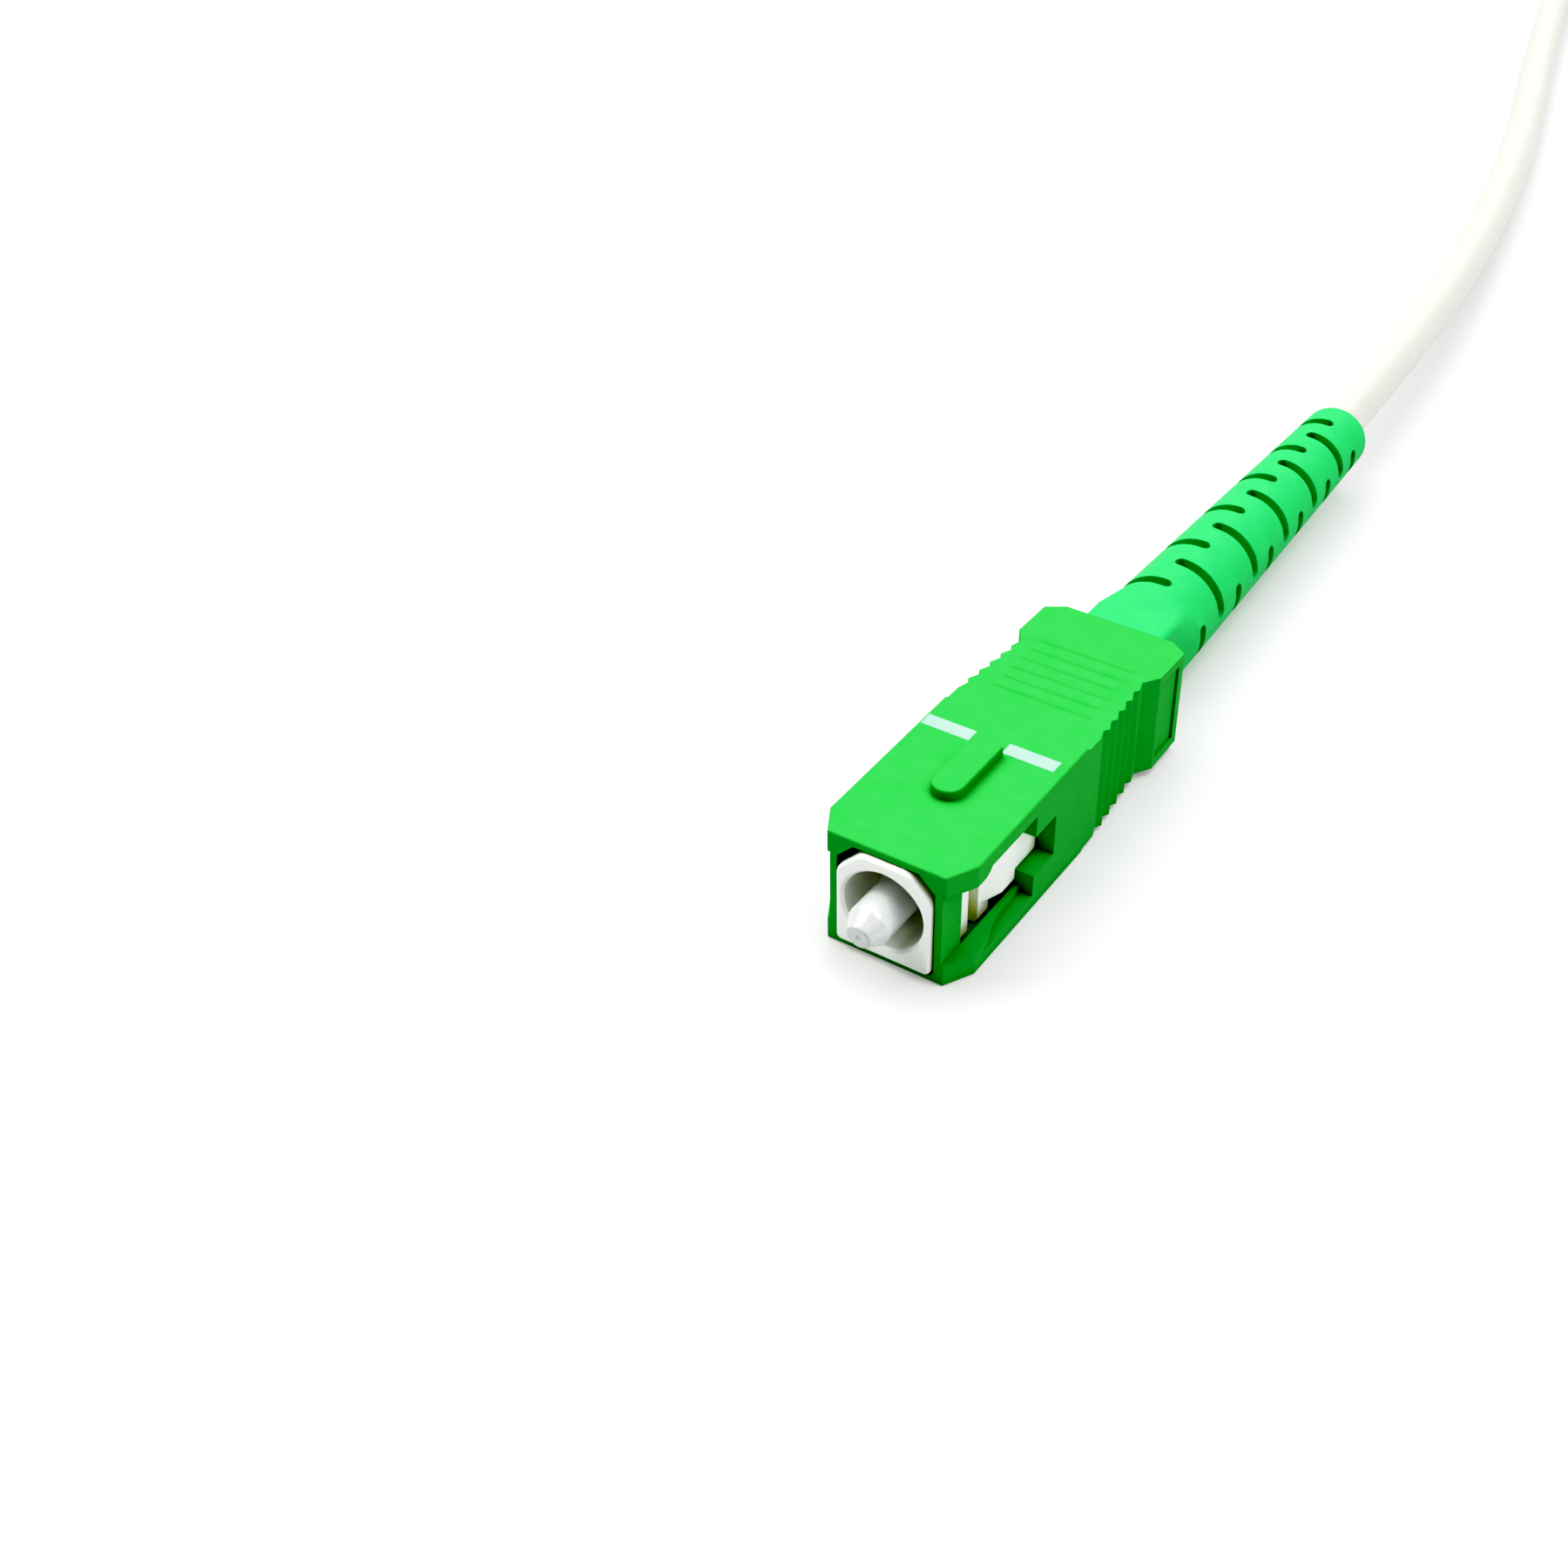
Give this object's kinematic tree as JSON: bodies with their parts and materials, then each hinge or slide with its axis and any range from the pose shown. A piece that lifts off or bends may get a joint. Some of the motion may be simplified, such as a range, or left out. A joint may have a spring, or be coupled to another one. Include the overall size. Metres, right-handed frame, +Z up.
{
  "type": "sc fibre connector",
  "caption": "Push-pull fibre-optic plug with a sliding keyed grip, sprung angle-polished ceramic ferrule, slotted strain boot and round jacketed pigtail.",
  "frame": {"origin": "middle of the grip's flat underside, on the surface that the connector lies on", "axes": "+Z up, key side; +Y along the optical axis from the ferrule towards the cable; +X to the right seen from the cable with the key up"},
  "size_m": [0.0392, 0.211, 0.01],
  "materials": {
    "grip": "satin moulded, bright green",
    "frame": "satin moulded, white",
    "ceramic": "polished zirconia",
    "plated_brass": "nickel plated",
    "spring_steel": "drawn wire",
    "tube": "translucent white",
    "buffer": "white",
    "fibre": "polished end",
    "yarn": "yellow strands",
    "sleeve": "plain",
    "boot": "satin, lighter green",
    "jacket": "smooth ivory",
    "tie": "soft band"
  },
  "bodies": {
    "plug": {"plug_frame": "frame", "rear_body": "plated_brass", "aramid_yarn": "yarn", "crimp_sleeve": "sleeve", "strain_boot": "boot", "coil_spring": "spring_steel", "cable_tube": "jacket", "cable_coil": "jacket", "coil_tie": "tie"},
    "grip": {"grip_housing": "grip"},
    "ferrule": {"ferrule": "ceramic", "ferrule_flange": "plated_brass", "guide_tube": "tube", "fibre_buffer": "buffer", "bare_fibre": "fibre"}
  },
  "joints": [
    {"name": "grip_slide", "type": "slide", "parent": "plug", "child": "grip", "axis": [0, 1, 0], "range_m": [0, 0.002]},
    {"name": "ferrule_spring", "type": "slide", "parent": "plug", "child": "ferrule", "axis": [0, 1, 0], "range_m": [0, 0.0012], "stiffness_N_per_m": 1000, "deforming": ["coil_spring"]}
  ]
}
